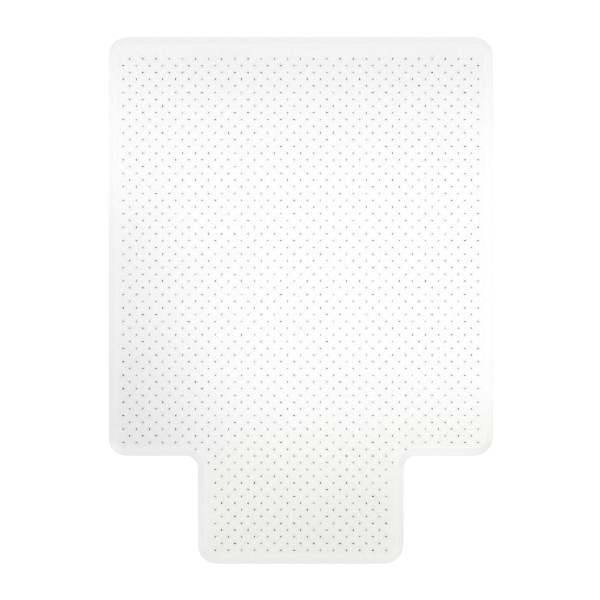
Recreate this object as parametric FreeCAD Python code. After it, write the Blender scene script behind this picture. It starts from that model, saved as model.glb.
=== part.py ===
"""Chair mat with an under-desk lip: a clear sheet with a bevelled rim and gripper studs underneath.

The mat lies flat with its stud tips on z = 0. +Z is up, and +Y runs from the lip towards the back edge.
The origin is the middle of the overall footprint, at the stud tips. All sizes are in millimetres.
"""

import FreeCAD
import Part

import os

from FreeCAD import Vector

# Overall footprint
MAT_WIDTH = 900.0
MAT_LENGTH = 1233.0  # back edge to the lip's front edge
LIP_WIDTH = 482.0
LIP_LENGTH = 253.0
DECK_CORNER_RADIUS = 42.0
LIP_CORNER_RADIUS = 45.0
NOTCH_RADIUS = 30.0  # the two inside corners where the lip leaves the deck

# Sheet and rim
SHEET_THICKNESS = 2.3
STUD_LAYER_THICKNESS = 0.6  # the sheet's underside, which carries the studs
RIM_WIDTH = 20.0
BEVEL_WIDTH = 15.0  # the outer part of the rim, which slopes down to the edge
EDGE_THICKNESS = 1.0
BEAD_HEIGHT = 0.03  # the low rounded bead between bevel and sheet

# Studs
STUD_HEIGHT = 5.0
STUD_ROOT_RADIUS = 1.7
STUD_TIP_RADIUS = 0.7
STUD_PITCH = 30.8  # along a row
ROW_STEP = 15.77  # from row to row; alternate rows are offset by half the pitch
FIRST_ROW_FROM_BACK = 50.5
DECK_ROWS = 58
DECK_PANEL_ROWS = 60  # the deck's panel reaches a little into the lip, to midway between two rows
ALL_ROWS = 74
STUDS_IN_EVEN_DECK_ROW = 27  # odd rows hold one more
STUDS_IN_EVEN_LIP_ROW = 13
STUDS_IN_WIDENED_ROW = {58: 17, 60: 15}  # even rows that reach into the rounded inside corners

BACK = MAT_LENGTH / 2
FRONT = -MAT_LENGTH / 2
SHOULDER = FRONT + LIP_LENGTH  # the deck's front edge, on both sides of the lip
PANEL_SPLIT = BACK - FIRST_ROW_FROM_BACK - (DECK_PANEL_ROWS - 0.5) * ROW_STEP
SHEET_BOTTOM = STUD_HEIGHT
STUD_LAYER_TOP = SHEET_BOTTOM + STUD_LAYER_THICKNESS
SHEET_TOP = SHEET_BOTTOM + SHEET_THICKNESS

CORNER_NAMES = (
    "back_right",
    "back_left",
    "front_left",
    "notch_left",
    "lip_left",
    "lip_right",
    "notch_right",
    "front_right",
)

# Each rim node is a chain of corners, and of straight sides named after the corner they start from.
RIM_NODES = {
    "back_rim": (("corner", "back_right"), ("side", "back_right"), ("corner", "back_left")),
    "left_rim": (("side", "back_left"), ("corner", "front_left")),
    "left_shoulder_rim": (("side", "front_left"),),
    "left_notch_rim": (("corner", "notch_left"),),
    "left_lip_rim": (("side", "notch_left"),),
    "front_lip_rim": (("corner", "lip_left"), ("side", "lip_left"), ("corner", "lip_right")),
    "right_lip_rim": (("side", "lip_right"),),
    "right_notch_rim": (("corner", "notch_right"),),
    "right_shoulder_rim": (("side", "notch_right"),),
    "right_rim": (("corner", "front_right"), ("side", "front_right")),
}


def outline_corners(inset=0.0):
    """The mat's corners, counter-clockwise, moved inwards by inset: name to (x, y, radius)."""
    half_width = MAT_WIDTH / 2 - inset
    half_lip = LIP_WIDTH / 2 - inset
    back = BACK - inset
    shoulder = SHOULDER + inset
    front = FRONT + inset
    deck_radius = DECK_CORNER_RADIUS - inset
    lip_radius = LIP_CORNER_RADIUS - inset
    notch_radius = NOTCH_RADIUS + inset
    places = (
        (half_width, back, deck_radius),
        (-half_width, back, deck_radius),
        (-half_width, shoulder, deck_radius),
        (-half_lip, shoulder, notch_radius),
        (-half_lip, front, lip_radius),
        (half_lip, front, lip_radius),
        (half_lip, shoulder, notch_radius),
        (half_width, shoulder, deck_radius),
    )
    return dict(zip(CORNER_NAMES, places))


def corner_arc(corners, name):
    """Where the outline's arc at a corner starts and ends, its centre, and the direction it arrives in."""
    index = CORNER_NAMES.index(name)
    x, y, radius = corners[name]
    before = corners[CORNER_NAMES[index - 1]]
    after = corners[CORNER_NAMES[(index + 1) % len(CORNER_NAMES)]]
    vertex = Vector(x, y, 0)
    arriving = (vertex - Vector(before[0], before[1], 0)).normalize()
    leaving = (Vector(after[0], after[1], 0) - vertex).normalize()
    start = vertex - arriving * radius
    end = vertex + leaving * radius
    centre = start + leaving * radius
    return start, end, centre, arriving


def outline_wire(inset, height):
    """The mat's outline, moved inwards by inset, as a closed wire at that height."""
    corners = outline_corners(inset)
    edges = []
    previous_end = corner_arc(corners, CORNER_NAMES[-1])[1]
    for name in CORNER_NAMES:
        start, end, centre, _ = corner_arc(corners, name)
        radius = corners[name][2]
        middle = centre + ((start + end) * 0.5 - centre).normalize() * radius
        edges.append(Part.LineSegment(previous_end, start).toShape())
        edges.append(Part.Arc(start, middle, end).toShape())
        previous_end = end
    wire = Part.Wire(edges)
    wire.translate(Vector(0, 0, height))
    return wire


def rim_profile(edge_point, inward):
    """The rim's cross-section, standing on edge_point and reaching inwards from it."""

    def at(distance, height):
        return edge_point + inward * distance + Vector(0, 0, height)

    nose = EDGE_THICKNESS / 2
    bead_middle = (BEVEL_WIDTH + RIM_WIDTH) / 2
    edges = [
        Part.Arc(
            at(nose, SHEET_BOTTOM),
            at(0, SHEET_BOTTOM + nose),
            at(nose, SHEET_BOTTOM + EDGE_THICKNESS),
        ),
        Part.LineSegment(at(nose, SHEET_BOTTOM + EDGE_THICKNESS), at(BEVEL_WIDTH, SHEET_TOP)),
        Part.Arc(
            at(BEVEL_WIDTH, SHEET_TOP),
            at(bead_middle, SHEET_TOP + BEAD_HEIGHT),
            at(RIM_WIDTH, SHEET_TOP),
        ),
        Part.LineSegment(at(RIM_WIDTH, SHEET_TOP), at(RIM_WIDTH, SHEET_BOTTOM)),
        Part.LineSegment(at(RIM_WIDTH, SHEET_BOTTOM), at(nose, SHEET_BOTTOM)),
    ]
    return Part.Face(Part.Wire([edge.toShape() for edge in edges]))


def left_of(direction):
    """The horizontal direction 90 degrees to the left, which points into the mat along its outline."""
    return Vector(-direction.y, direction.x, 0)


def rim_side(name):
    """The rim's straight run from the named corner to the next one."""
    corners = outline_corners()
    following = CORNER_NAMES[(CORNER_NAMES.index(name) + 1) % len(CORNER_NAMES)]
    start = corner_arc(corners, name)[1]
    end = corner_arc(corners, following)[0]
    run = end - start
    direction = Vector(run).normalize()
    return rim_profile(start, left_of(direction)).extrude(run)


def rim_corner(name):
    """The rim's quarter turn at the named corner: to the left, or to the right at a notch."""
    start, _, centre, arriving = corner_arc(outline_corners(), name)
    turn = -90 if name.startswith("notch") else 90
    return rim_profile(start, left_of(arriving)).revolve(centre, Vector(0, 0, 1), turn)


def rim_node(pieces):
    """One rim node: its straight runs and quarter turns joined end to end."""
    makers = {"side": rim_side, "corner": rim_corner}
    solids = [makers[kind](name) for kind, name in pieces]
    if len(solids) == 1:
        return solids[0]
    return solids[0].multiFuse(solids[1:]).removeSplitter()


def inner_slab(bottom, top):
    """The mat's area inside the rim, between two heights."""
    return Part.Face(outline_wire(RIM_WIDTH, bottom)).extrude(Vector(0, 0, top - bottom))


def half_space(front, back):
    """A box over the mat's whole width and height, from y = front to y = back."""
    return Part.makeBox(MAT_WIDTH, back - front, SHEET_TOP, Vector(-MAT_WIDTH / 2, front, 0))


def deck_part(slab):
    """What a slab holds behind the split between the deck's panel and the lip's."""
    return slab.common(half_space(PANEL_SPLIT, BACK))


def lip_part(slab):
    """What a slab holds in front of the split between the deck's panel and the lip's."""
    return slab.common(half_space(FRONT, PANEL_SPLIT))


def studs_in_row(row):
    """How many studs stand in a row, counted from the back edge."""
    if row < DECK_ROWS:
        return STUDS_IN_EVEN_DECK_ROW + row % 2
    return STUDS_IN_WIDENED_ROW.get(row, STUDS_IN_EVEN_LIP_ROW + row % 2)


def stud_places():
    """The middle of each stud's root, on the sheet's underside."""
    places = []
    for row in range(ALL_ROWS):
        count = studs_in_row(row)
        y = BACK - FIRST_ROW_FROM_BACK - row * ROW_STEP
        for column in range(count):
            x = (column - (count - 1) / 2) * STUD_PITCH
            places.append(Vector(x, y, SHEET_BOTTOM))
    return places


def stud(root):
    """One gripper stud, hanging down from its root as a blunt cone."""
    return Part.makeCone(STUD_ROOT_RADIUS, STUD_TIP_RADIUS, STUD_HEIGHT, root, Vector(0, 0, -1))


def studded_layer(layer, roots):
    """The sheet's underside with its studs moulded on."""
    return layer.multiFuse([stud(root) for root in roots])


def build():
    """Every node of the mat: name to shape."""
    stud_layer = inner_slab(SHEET_BOTTOM, STUD_LAYER_TOP)
    sheet = inner_slab(STUD_LAYER_TOP, SHEET_TOP)
    roots = stud_places()
    nodes = {
        "deck_sheet": deck_part(sheet),
        "lip_sheet": lip_part(sheet),
        "deck_studs": studded_layer(deck_part(stud_layer), [r for r in roots if r.y > PANEL_SPLIT]),
        "lip_studs": studded_layer(lip_part(stud_layer), [r for r in roots if r.y < PANEL_SPLIT]),
    }
    for name, pieces in RIM_NODES.items():
        nodes[name] = rim_node(pieces)
    return nodes


def main():
    os.makedirs("parts", exist_ok=True)
    for name, shape in build().items():
        shape.exportStep(os.path.join("parts", name + ".step"))
        print(f"{name}: {len(shape.Solids)} solid, {shape.Volume / 1000:.1f} cm3, valid {shape.isValid()}")


if __name__ == "__main__":
    main()
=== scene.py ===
"""The looks of the chair mat: one clear moulded sheet with its rim, and the gripper studs under it.

Lengths are in metres. The deck is the wide part of the mat, and the lip is the narrow part in front.
"""

import math
import random

import bpy
import numpy as np
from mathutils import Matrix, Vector, geometry


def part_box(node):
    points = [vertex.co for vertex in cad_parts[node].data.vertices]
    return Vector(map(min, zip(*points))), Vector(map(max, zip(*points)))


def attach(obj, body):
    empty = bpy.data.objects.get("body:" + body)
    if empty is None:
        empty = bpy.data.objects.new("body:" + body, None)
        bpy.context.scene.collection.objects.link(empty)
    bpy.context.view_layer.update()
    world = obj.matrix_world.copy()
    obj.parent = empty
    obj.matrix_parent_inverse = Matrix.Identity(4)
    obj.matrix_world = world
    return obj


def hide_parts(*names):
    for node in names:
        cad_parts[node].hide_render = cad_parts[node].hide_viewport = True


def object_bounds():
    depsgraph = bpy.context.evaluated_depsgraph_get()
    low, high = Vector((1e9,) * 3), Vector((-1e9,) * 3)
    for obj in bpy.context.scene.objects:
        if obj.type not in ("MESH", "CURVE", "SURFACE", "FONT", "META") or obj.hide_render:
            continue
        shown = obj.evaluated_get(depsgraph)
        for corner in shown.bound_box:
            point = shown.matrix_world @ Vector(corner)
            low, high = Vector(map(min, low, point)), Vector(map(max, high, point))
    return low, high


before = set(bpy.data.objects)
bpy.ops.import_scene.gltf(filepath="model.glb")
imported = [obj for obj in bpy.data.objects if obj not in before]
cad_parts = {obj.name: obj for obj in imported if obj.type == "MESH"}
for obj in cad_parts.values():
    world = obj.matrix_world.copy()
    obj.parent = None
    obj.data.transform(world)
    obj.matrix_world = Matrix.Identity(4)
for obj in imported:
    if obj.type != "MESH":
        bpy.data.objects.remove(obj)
CAD_LO, CAD_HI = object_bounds()

MM = 0.001

# The outline and the heights, all read from the CAD parts in model.glb
HALF_WIDTH = CAD_HI.x
BACK = CAD_HI.y
FRONT = CAD_LO.y
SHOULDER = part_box("left_shoulder_rim")[0].y
HALF_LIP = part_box("front_lip_rim")[1].x
RIM_WIDTH = HALF_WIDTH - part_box("deck_sheet")[1].x
DECK_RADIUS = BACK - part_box("back_rim")[0].y
LIP_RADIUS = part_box("front_lip_rim")[1].y - FRONT
NOTCH_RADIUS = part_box("left_notch_rim")[1].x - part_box("left_notch_rim")[0].x - RIM_WIDTH
SHEET_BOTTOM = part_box("back_rim")[0].z
SHEET_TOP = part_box("deck_sheet")[1].z
BEAD_TOP = CAD_HI.z

# The rim's section
EDGE_THICKNESS = 1.0 * MM
EDGE_RADIUS = 0.15 * MM  # on both arrises of the edge
BEVEL_WIDTH = 15.0 * MM
GRAIN_START = 8.0 * MM  # how far inside the bead the grain reaches its full depth
EDGE_SHADE_WIDTH = 5.0 * MM  # how far in from the edge a painted shade darkens the vinyl
SHEET_CREASE = math.radians(40)

# A stud's section: radius and height of each ring, from inside the sheet down to the tip
STUD_RINGS = (
    (1.7 * MM, SHEET_BOTTOM + 0.4 * MM),
    (1.7 * MM, SHEET_BOTTOM),
    (1.4 * MM, SHEET_BOTTOM - 0.5 * MM),
    (0.75 * MM, 0.4 * MM),
    (0.42 * MM, 0.02 * MM),
)
STUD_SIDES = 12
STUD_CREASE = math.radians(60)
STUD_GAP = 5 * MM  # wider than a tip, and narrower than the space between two
TIP_LEVEL = 0.05 * MM  # only the tips reach below this

# Mesh density
SIDE_STEP = 14 * MM
CORNER_STEPS = 12
EDGE_STEPS = 3
BEVEL_SHARES = (0.02, 0.25, 0.5, 0.75)  # the first one keeps the bevel flat up to its arris
BEAD_STEPS = 8
FIELD_STEP = 14 * MM
TRIANGLES_INSIDE_LOOP = 1  # the triangulation's mode
POINT_TOLERANCE = 1e-6

# What the vinyl's material reads on the field and on the underside: grain, edge and field values
FIELD_MARKS = (1.0, 0.0, 1.0)
UNDERSIDE_MARKS = (0.0, 0.0, 0.0)

# The slight unevenness of a flexible sheet that lies on its studs
LIFT = 0.35 * MM
LIFT_WAVE = Vector((0.43, 0.61))
LIFT_PHASE = (0.7, 0.4)

# Studio
CAMERA_HEIGHT = 3.325
CAMERA_PLACE = Vector((-0.0015, 0.0011))
CAMERA_LENS = 85
PIXEL_FILTER = 0.5  # in pixels
FLOOR_SIZE = 30
FLOOR_DROP = 0.1 * MM
SKY_STOPS = ((0.0, 0.5), (0.22, 0.96), (1.0, 1.0))  # (sine of the elevation, brightness)
SKY_STRENGTH = 1.2
WHITE = (1, 1, 1)
WARM = (1, 1, 0.84)
# Cards overhead, lowest first: name, strength, colour, and corners as (x, y). The flag is black.
CARDS = (
    ("flag", 0, WHITE, (
        (-2.5, -0.55), (-2.5, -1.6), (-1.3, -0.88), (-1.4, -2.2), (-0.5, -0.8), (-0.8, -0.3),
    )),
    ("kicker", 2.4, WHITE, ((0.6, -1.55), (1.0, -1.55), (1.0, -2.0), (0.55, -1.85))),
    ("softbox", 1.55, WHITE, (
        (-2.6, 1.25), (-2.6, 0.6), (-0.95, 0.5), (-0.8, 0.2), (-0.75, -0.75),
        (-0.5, -0.8), (0.6, -0.75), (2.6, -0.55), (2.6, 1.15),
    )),
    ("side_card", 0.49, WHITE, ((-3, 0.7), (-3, -0.5), (-0.5, -0.5), (-0.5, 0.7))),
    ("front_card", 0.28, WARM, ((-2.6, -2), (-2.6, -3), (3, -3), (3, -0.4))),
    ("lip_card", 0.76, WARM, ((-1, -0.6), (-1, -1.5), (3, -1.5), (3, -0.6))),
    ("back_card", 0.6, WHITE, ((-3, 1), (3, 1), (3, 3), (-3, 3))),
)
CARD_HEIGHT = 4.5
CARD_GAP = 10 * MM
FLOOR_WHITE = (0.88, 0.88, 0.88)

# The vinyl, with its tints as linear RGB; the edge tint and the stud tints are painted shade
VINYL_IOR = 1.53
FIELD_TINTS = ((0.883, 0.883, 0.883), (0.904, 0.904, 0.904))
GRAIN_TINTS = ((0.92, 0.92, 0.92), (1.0, 1.0, 1.0))
SMOOTH_FIELD_TINT = (0.858, 0.858, 0.858)  # between the bead and the grain
RIM_TINT = (0.914, 0.914, 0.914)
# Painted shade: the outer few millimetres of the rim are darkened, standing in for the dark line that
# light gives a cut vinyl edge
PAINTED_EDGE_SHADE_TINT = (0.87, 0.87, 0.87)
FIELD_ROUGHNESS = (0.15, 0.2)
RIM_ROUGHNESS = 0.28
SKIN_IOR = 2.14
SKIN_ROUGHNESS = 0.2
GRAIN_DEPTH = 0.012 * MM
GRAIN_SCALE = 430.0
HAZE_SCALE = 9.0
CLOUD_SCALE = 28.0
STUD_TRANSMISSION = 0.6
# Painted shade: the studs are painted dark grey, darkest at the tip, standing in for the shade the clear
# studs get from refraction and from the floor under their tips
STUD_PAINTED_SHADE_TINTS = ((0.085, 0.085, 0.09), (0.18, 0.185, 0.19))  # at the tip and at the root
STUD_ROUGHNESS = (0.42, 0.2)  # likewise
# Each stud's painted shade differs at random, standing in for how much light each stud catches
STUD_SHADES = (0.1, 3.2)  # each stud's tints are multiplied by a random factor in this range
SEED = 11


# Camera

def make_camera():
    """A camera that looks straight down on the mat."""
    data = bpy.data.cameras.new("camera")
    data.lens = CAMERA_LENS
    camera = bpy.data.objects.new("camera", data)
    camera.location = (*CAMERA_PLACE, CAMERA_HEIGHT)
    bpy.context.collection.objects.link(camera)
    bpy.context.scene.camera = camera


def set_picture():
    """White stays white, and edges stay crisp."""
    bpy.context.scene.view_settings.view_transform = "Standard"
    bpy.context.scene.cycles.filter_width = PIXEL_FILTER


# Shapes

def lift(x, y):
    """How far the sheet stands above its CAD height at a place."""
    across = math.sin(2 * math.pi * x / LIFT_WAVE.x + LIFT_PHASE[0])
    along = math.sin(2 * math.pi * y / LIFT_WAVE.y + LIFT_PHASE[1])
    return LIFT * (0.5 + 0.5 * across * along)


def corners(inset):
    """The outline's corners, counter-clockwise, moved inwards by inset: (x, y, radius)."""
    width, lip = HALF_WIDTH - inset, HALF_LIP - inset
    back, shoulder, front = BACK - inset, SHOULDER + inset, FRONT + inset
    deck, notch, tongue = DECK_RADIUS - inset, NOTCH_RADIUS + inset, LIP_RADIUS - inset
    return (
        (width, back, deck), (-width, back, deck), (-width, shoulder, deck), (-lip, shoulder, notch),
        (-lip, front, tongue), (lip, front, tongue), (lip, shoulder, notch), (width, shoulder, deck),
    )


def arc_ends(inset, index):
    """Where the arc at a corner starts and ends, and its centre."""
    places = corners(inset)
    x, y, radius = places[index]
    vertex = Vector((x, y))
    arriving = (vertex - Vector(places[index - 1][:2])).normalized()
    leaving = (Vector(places[(index + 1) % len(places)][:2]) - vertex).normalized()
    start = vertex - arriving * radius
    return start, vertex + leaving * radius, start + leaving * radius


def outline(inset):
    """The outline as points, moved inwards by inset. Every inset gives the same number of points."""
    points = []
    count = len(corners(0))
    for index in range(count):
        start, end, centre = arc_ends(inset, index)
        for step in range(CORNER_STEPS):
            turn = step / CORNER_STEPS * math.pi / 2
            points.append(centre + (start - centre) * math.cos(turn) + (end - centre) * math.sin(turn))
        following = (index + 1) % count
        length = (arc_ends(0, following)[0] - arc_ends(0, index)[1]).length
        steps = max(1, round(length / SIDE_STEP))
        next_start = arc_ends(inset, following)[0]
        points += [end.lerp(next_start, step / steps) for step in range(steps)]
    return points


def rim_section():
    """The rim's upper section as (inset, height), from the underside round the edge to the field."""
    section = []
    edge_top = SHEET_BOTTOM + EDGE_THICKNESS
    for centre, first_turn in ((SHEET_BOTTOM + EDGE_RADIUS, -math.pi / 2), (edge_top - EDGE_RADIUS, 0)):
        for step in range(EDGE_STEPS + 1):
            turn = first_turn + math.pi / 2 * step / EDGE_STEPS
            section.append((EDGE_RADIUS * (1 - math.cos(turn)), centre + EDGE_RADIUS * math.sin(turn)))
    for share in BEVEL_SHARES:
        section.append((
            EDGE_RADIUS + (BEVEL_WIDTH - EDGE_RADIUS) * share,
            edge_top + (SHEET_TOP - edge_top) * share,
        ))
    for step in range(BEAD_STEPS + 1):
        share = step / BEAD_STEPS
        bead = (BEAD_TOP - SHEET_TOP) * math.sin(math.pi * share)
        section.append((BEVEL_WIDTH + (RIM_WIDTH - BEVEL_WIDTH) * share, SHEET_TOP + bead))
    section.append((RIM_WIDTH + GRAIN_START, SHEET_TOP))
    return section


def field_points(inset):
    """An even grid of points over the deck and the lip, all at least inset inside the outline."""
    columns = round(2 * HALF_WIDTH / FIELD_STEP)
    rows = round((BACK - FRONT) / FIELD_STEP)
    points = []
    for row in range(rows + 1):
        y = FRONT + (BACK - FRONT) * row / rows
        for column in range(columns + 1):
            x = HALF_WIDTH * (2 * column / columns - 1)
            on_deck = abs(x) < HALF_WIDTH - inset and SHOULDER + inset < y < BACK - inset
            on_lip = abs(x) < HALF_LIP - inset and FRONT + inset < y <= SHOULDER + inset
            if on_deck or on_lip:
                points.append(Vector((x, y)))
    return points


def upper_marks(inset):
    """What the vinyl's material reads at a point of the upper side: its grain, edge and field values."""
    grain = 1.0 if inset > RIM_WIDTH + GRAIN_START / 2 else 0.0
    # The edge value drives the painted shade along the outer edge of the rim
    edge = max(0.0, 1 - inset / EDGE_SHADE_WIDTH) ** 2
    field = min(1.0, max(0.0, (inset - BEVEL_WIDTH) / (RIM_WIDTH - BEVEL_WIDTH)))
    return grain, edge, field


def make_sheet():
    """The whole moulding but its studs: a closed mesh with a smooth rim and a grained field.

    The underside's faces take the second material.
    """
    section = rim_section()
    rings = [outline(inset) for inset, _ in section]
    around = len(rings[0])
    loop = [(i, (i + 1) % around) for i in range(around)]
    points, marks, faces = [], [], []

    def add_point(place, height, mark):
        points.append((place.x, place.y, height + lift(place.x, place.y)))
        marks.append(mark)
        return len(points) - 1

    for (inset, height), ring in zip(section, rings):
        for place in ring:
            add_point(place, height, upper_marks(inset))
    inner_ring = len(points) - around
    for lower in range(0, inner_ring, around):
        upper = lower + around
        faces += [(lower + a, lower + b, upper + b, upper + a) for a, b in loop]
    under_ring = len(points)
    for place in rings[-1]:
        add_point(place, SHEET_BOTTOM, UNDERSIDE_MARKS)

    grid = field_points(RIM_WIDTH + GRAIN_START + FIELD_STEP / 2)
    places, _, triangles, sources, _, _ = geometry.delaunay_2d_cdt(
        rings[-1] + grid, loop, [], TRIANGLES_INSIDE_LOOP, POINT_TOLERANCE)
    top, bottom = [], []
    for place, origins in zip(places, sources):
        on_ring = [origin for origin in origins if origin < around]
        if on_ring:
            top.append(inner_ring + on_ring[-1])
            bottom.append(under_ring + on_ring[-1])
        else:
            top.append(add_point(place, SHEET_TOP, FIELD_MARKS))
            bottom.append(add_point(place, SHEET_BOTTOM, UNDERSIDE_MARKS))
    faces += [tuple(top[i] for i in triangle) for triangle in triangles]
    upper_faces = len(faces)
    faces += [tuple(bottom[i] for i in reversed(triangle)) for triangle in triangles]
    faces += [(under_ring + a, under_ring + b, b, a) for a, b in loop]

    mesh = bpy.data.meshes.new("clear_sheet")
    mesh.from_pydata(points, [], faces)
    for name, values in zip(("grain", "edge", "field"), zip(*marks)):
        mesh.attributes.new(name, "FLOAT", "POINT").data.foreach_set("value", values)
    for face in mesh.polygons[upper_faces:]:
        face.material_index = 1
    mesh.shade_smooth()
    mesh.set_sharp_from_angle(angle=SHEET_CREASE)
    return mesh


def split_at_gaps(points, axis):
    """The points in order along an axis, split wherever they leave a gap wider than a stud's tip."""
    points = points[np.argsort(points[:, axis])]
    return np.split(points, np.flatnonzero(np.diff(points[:, axis]) > STUD_GAP) + 1)


def stud_places(node):
    """The middle of each stud of a CAD stud field, from the vertices of the tips that it stands on."""
    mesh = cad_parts[node].data
    places = np.empty(len(mesh.vertices) * 3)
    mesh.vertices.foreach_get("co", places)
    places = places.reshape(-1, 3)
    tips = places[places[:, 2] < TIP_LEVEL]
    studs = [stud for row in split_at_gaps(tips, 1) for stud in split_at_gaps(row, 0)]
    return [(stud.min(0) + stud.max(0)) / 2 for stud in studs]


def make_studs(node):
    """A field of studs, each a closed blunt cone whose flared root goes into the sheet."""
    turns = [2 * math.pi * side / STUD_SIDES for side in range(STUD_SIDES)]
    chance = random.Random(SEED)
    vertices, faces, shades = [], [], []
    for x, y, _ in stud_places(node):
        first = len(vertices)
        # each stud's random painted shade factor
        shades += [chance.uniform(*STUD_SHADES)] * (len(STUD_RINGS) * STUD_SIDES)
        for radius, height in STUD_RINGS:
            level = height + lift(x, y)
            vertices += [(x + radius * math.cos(t), y + radius * math.sin(t), level) for t in turns]
        for ring in range(len(STUD_RINGS) - 1):
            upper, lower = first + ring * STUD_SIDES, first + (ring + 1) * STUD_SIDES
            for side in range(STUD_SIDES):
                following = (side + 1) % STUD_SIDES
                faces.append((upper + following, upper + side, lower + side, lower + following))
        faces.append(tuple(range(first, first + STUD_SIDES)))
        faces.append(tuple(range(len(vertices) - 1, len(vertices) - 1 - STUD_SIDES, -1)))
    mesh = bpy.data.meshes.new(node)
    mesh.from_pydata(vertices, [], faces)
    mesh.attributes.new("shade", "FLOAT", "POINT").data.foreach_set("value", shades)
    mesh.shade_smooth()
    mesh.set_sharp_from_angle(angle=STUD_CREASE)
    return mesh


# Materials

MIX_SOCKETS = {"RGBA": (6, 7, 2), "FLOAT": (2, 3, 0)}  # a Mix node's two inputs and its result


def new_material(name):
    """A material with only a Principled shader in it, and that shader."""
    material = bpy.data.materials.new(name)
    material.use_nodes = True
    return material, material.node_tree.nodes["Principled BSDF"]


def add(material, kind, **settings):
    """A node with its settings, which are its properties or else its input sockets by name."""
    node = material.node_tree.nodes.new(kind)
    for key, value in settings.items():
        if hasattr(node, key):
            setattr(node, key, value)
        else:
            node.inputs[key.replace("_", " ")].default_value = value
    return node


def join(material, source, target):
    """A link from an output to an input."""
    material.node_tree.links.new(source, target)


def blend(material, kind, amount, first, second):
    """The mix of two colours or numbers by an amount; each of the two is a value or an output."""
    mix = add(material, "ShaderNodeMix", data_type=kind)
    first_input, second_input, result = MIX_SOCKETS[kind]
    for value, index in ((first, first_input), (second, second_input)):
        if isinstance(value, bpy.types.NodeSocket):
            join(material, value, mix.inputs[index])
        else:
            mix.inputs[index].default_value = (*value, 1) if kind == "RGBA" else value
    join(material, amount, mix.inputs[0])
    return mix.outputs[result]


def sheet_plastic(name, skin):
    """Clear flexible vinyl, smooth on the rim and finely grained and a little hazy on the field.

    skin is how much of a glossy top surface it has.
    """
    material, shader = new_material(name)
    shader.inputs["IOR"].default_value = VINYL_IOR
    shader.inputs["Transmission Weight"].default_value = 1
    shader.inputs["Coat Weight"].default_value = skin
    shader.inputs["Coat IOR"].default_value = SKIN_IOR
    shader.inputs["Coat Roughness"].default_value = SKIN_ROUGHNESS
    place = add(material, "ShaderNodeTexCoord").outputs["Object"]
    grained = add(material, "ShaderNodeAttribute", attribute_name="grain").outputs["Fac"]
    painted_edge_shade = add(material, "ShaderNodeAttribute", attribute_name="edge").outputs["Fac"]
    on_field = add(material, "ShaderNodeAttribute", attribute_name="field").outputs["Fac"]

    haze = add(material, "ShaderNodeTexNoise", Scale=HAZE_SCALE, Detail=3.0, Roughness=0.55)
    pebble = add(material, "ShaderNodeTexVoronoi", feature="SMOOTH_F1", Scale=GRAIN_SCALE, Smoothness=0.5)
    cloud = add(material, "ShaderNodeTexNoise", Scale=CLOUD_SCALE, Detail=4.0)
    for texture in (haze, pebble, cloud):
        join(material, place, texture.inputs["Vector"])

    field_tint = blend(material, "RGBA", haze.outputs["Fac"], *FIELD_TINTS)
    pebble_shade = add(material, "ShaderNodeSeparateColor")
    join(material, pebble.outputs["Color"], pebble_shade.inputs[0])
    pebble_tint = blend(material, "RGBA", pebble_shade.outputs[0], *GRAIN_TINTS)
    grained_tint = add(material, "ShaderNodeVectorMath", operation="MULTIPLY")
    join(material, field_tint, grained_tint.inputs[0])
    join(material, pebble_tint, grained_tint.inputs[1])
    # Painted shade along the outer edge of the rim
    rim_tint = blend(material, "RGBA", painted_edge_shade, RIM_TINT, PAINTED_EDGE_SHADE_TINT)
    smooth_tint = blend(material, "RGBA", on_field, rim_tint, SMOOTH_FIELD_TINT)
    tint = blend(material, "RGBA", grained, smooth_tint, grained_tint.outputs["Vector"])
    join(material, tint, shader.inputs["Base Color"])

    field_roughness = blend(material, "FLOAT", cloud.outputs["Fac"], *FIELD_ROUGHNESS)
    roughness = blend(material, "FLOAT", grained, RIM_ROUGHNESS, field_roughness)
    join(material, roughness, shader.inputs["Roughness"])

    bump = add(material, "ShaderNodeBump", Distance=GRAIN_DEPTH)
    join(material, grained, bump.inputs["Strength"])
    join(material, pebble.outputs["Distance"], bump.inputs["Height"])
    join(material, bump.outputs["Normal"], shader.inputs["Normal"])
    return material


def stud_plastic():
    """The same vinyl with a painted shade: dark grey and darker towards the tip, duller towards the tip,
    and a painted shade that differs at random from stud to stud.
    """
    material, shader = new_material("stud_vinyl_painted_shade")
    shader.inputs["IOR"].default_value = VINYL_IOR
    shader.inputs["Transmission Weight"].default_value = STUD_TRANSMISSION
    place = add(material, "ShaderNodeTexCoord").outputs["Object"]
    shade = add(material, "ShaderNodeAttribute", attribute_name="shade").outputs["Fac"]
    height = add(material, "ShaderNodeSeparateXYZ")
    join(material, place, height.inputs[0])
    upwards = add(material, "ShaderNodeMapRange", From_Min=0.0, From_Max=SHEET_BOTTOM)
    join(material, height.outputs["Z"], upwards.inputs["Value"])
    # Painted shade: dark grey, darkest at the tip, scaled by the stud's random painted shade
    tint = blend(material, "RGBA", upwards.outputs["Result"], *STUD_PAINTED_SHADE_TINTS)
    shaded_tint = add(material, "ShaderNodeVectorMath", operation="SCALE")
    join(material, tint, shaded_tint.inputs[0])
    join(material, shade, shaded_tint.inputs["Scale"])
    join(material, shaded_tint.outputs[0], shader.inputs["Base Color"])
    roughness = blend(material, "FLOAT", upwards.outputs["Result"], *STUD_ROUGHNESS)
    join(material, roughness, shader.inputs["Roughness"])
    return material


# Studio

def make_floor():
    """The plain pale floor, just below the stud tips."""
    mesh = bpy.data.meshes.new("floor")
    half = FLOOR_SIZE / 2
    places = [(-half, -half, 0), (half, -half, 0), (half, half, 0), (-half, half, 0)]
    mesh.from_pydata(places, [], [range(len(places))])
    floor = bpy.data.objects.new("floor", mesh)
    floor.location.z = -FLOOR_DROP
    material, shader = new_material("floor_paint")
    shader.inputs["Base Color"].default_value = (*FLOOR_WHITE, 1)
    shader.inputs["Roughness"].default_value = 0.9
    shader.inputs["Specular IOR Level"].default_value = 0.1
    mesh.materials.append(material)
    bpy.context.collection.objects.link(floor)


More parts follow.
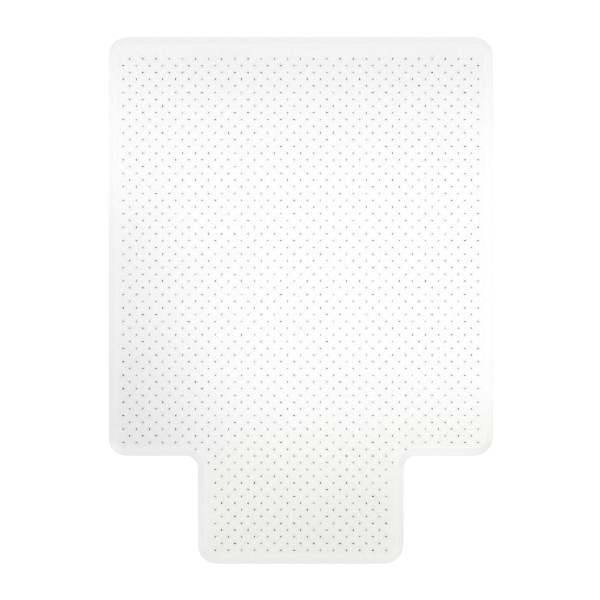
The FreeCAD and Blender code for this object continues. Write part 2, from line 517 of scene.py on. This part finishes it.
def make_card(name, strength, colour, places, height):
    """A card overhead that only glossy surfaces see; the room's own light does the rest."""
    mesh = bpy.data.meshes.new(name)
    mesh.from_pydata([(x, y, height) for x, y in places], [], [range(len(places))])
    card = bpy.data.objects.new(name, mesh)
    material, shader = new_material(name)
    shader.inputs["Base Color"].default_value = (0, 0, 0, 1)
    shader.inputs["Specular IOR Level"].default_value = 0
    shader.inputs["Emission Color"].default_value = (*colour, 1)
    shader.inputs["Emission Strength"].default_value = strength
    mesh.materials.append(material)
    bpy.context.collection.objects.link(card)
    card.visible_camera = False
    card.visible_diffuse = False
    card.visible_transmission = False
    card.visible_shadow = False


def make_sky():
    """A white room: brightest overhead and greyer towards the horizon."""
    world = bpy.data.worlds.new("room")
    bpy.context.scene.world = world
    world.use_nodes = True
    tree = world.node_tree
    place = tree.nodes.new("ShaderNodeTexCoord")
    split = tree.nodes.new("ShaderNodeSeparateXYZ")
    ramp = tree.nodes.new("ShaderNodeValToRGB")
    stops = ramp.color_ramp.elements
    while len(stops) < len(SKY_STOPS):
        stops.new(0.5)
    for stop, (sine, brightness) in zip(stops, SKY_STOPS):
        stop.position = sine
        stop.color = (brightness, brightness, brightness, 1)
    tree.links.new(place.outputs["Generated"], split.inputs[0])
    tree.links.new(split.outputs["Z"], ramp.inputs[0])
    tree.links.new(ramp.outputs[0], tree.nodes["Background"].inputs["Color"])
    tree.nodes["Background"].inputs["Strength"].default_value = SKY_STRENGTH
    # A sky sampled as a lamp would throw noisy shadows through the clear sheet
    world.cycles.sampling_method = "NONE"


def add_piece(name, mesh, materials, nodes):
    """One piece of the mat, which stands for those CAD nodes."""
    for material in materials:
        mesh.materials.append(material)
    piece = bpy.data.objects.new(name, mesh)
    bpy.context.collection.objects.link(piece)
    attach(piece, "root")
    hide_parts(*nodes)
    return piece


make_camera()
set_picture()
sheet_nodes = [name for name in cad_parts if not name.endswith("_studs")]
vinyl = [sheet_plastic("clear_vinyl", skin=1), sheet_plastic("clear_vinyl_underside", skin=0)]
sheet = add_piece("clear_sheet", make_sheet(), vinyl, sheet_nodes)
sheet.visible_diffuse = False  # the floor and the studs are lit as freely as through thin clear vinyl
stud_material = stud_plastic()
for field in ("deck", "lip"):
    node = field + "_studs"
    add_piece(field + "_gripper_studs", make_studs(node), [stud_material], [node])
make_floor()
make_sky()
for layer, card in enumerate(CARDS):
    make_card(*card, CARD_HEIGHT + layer * CARD_GAP)
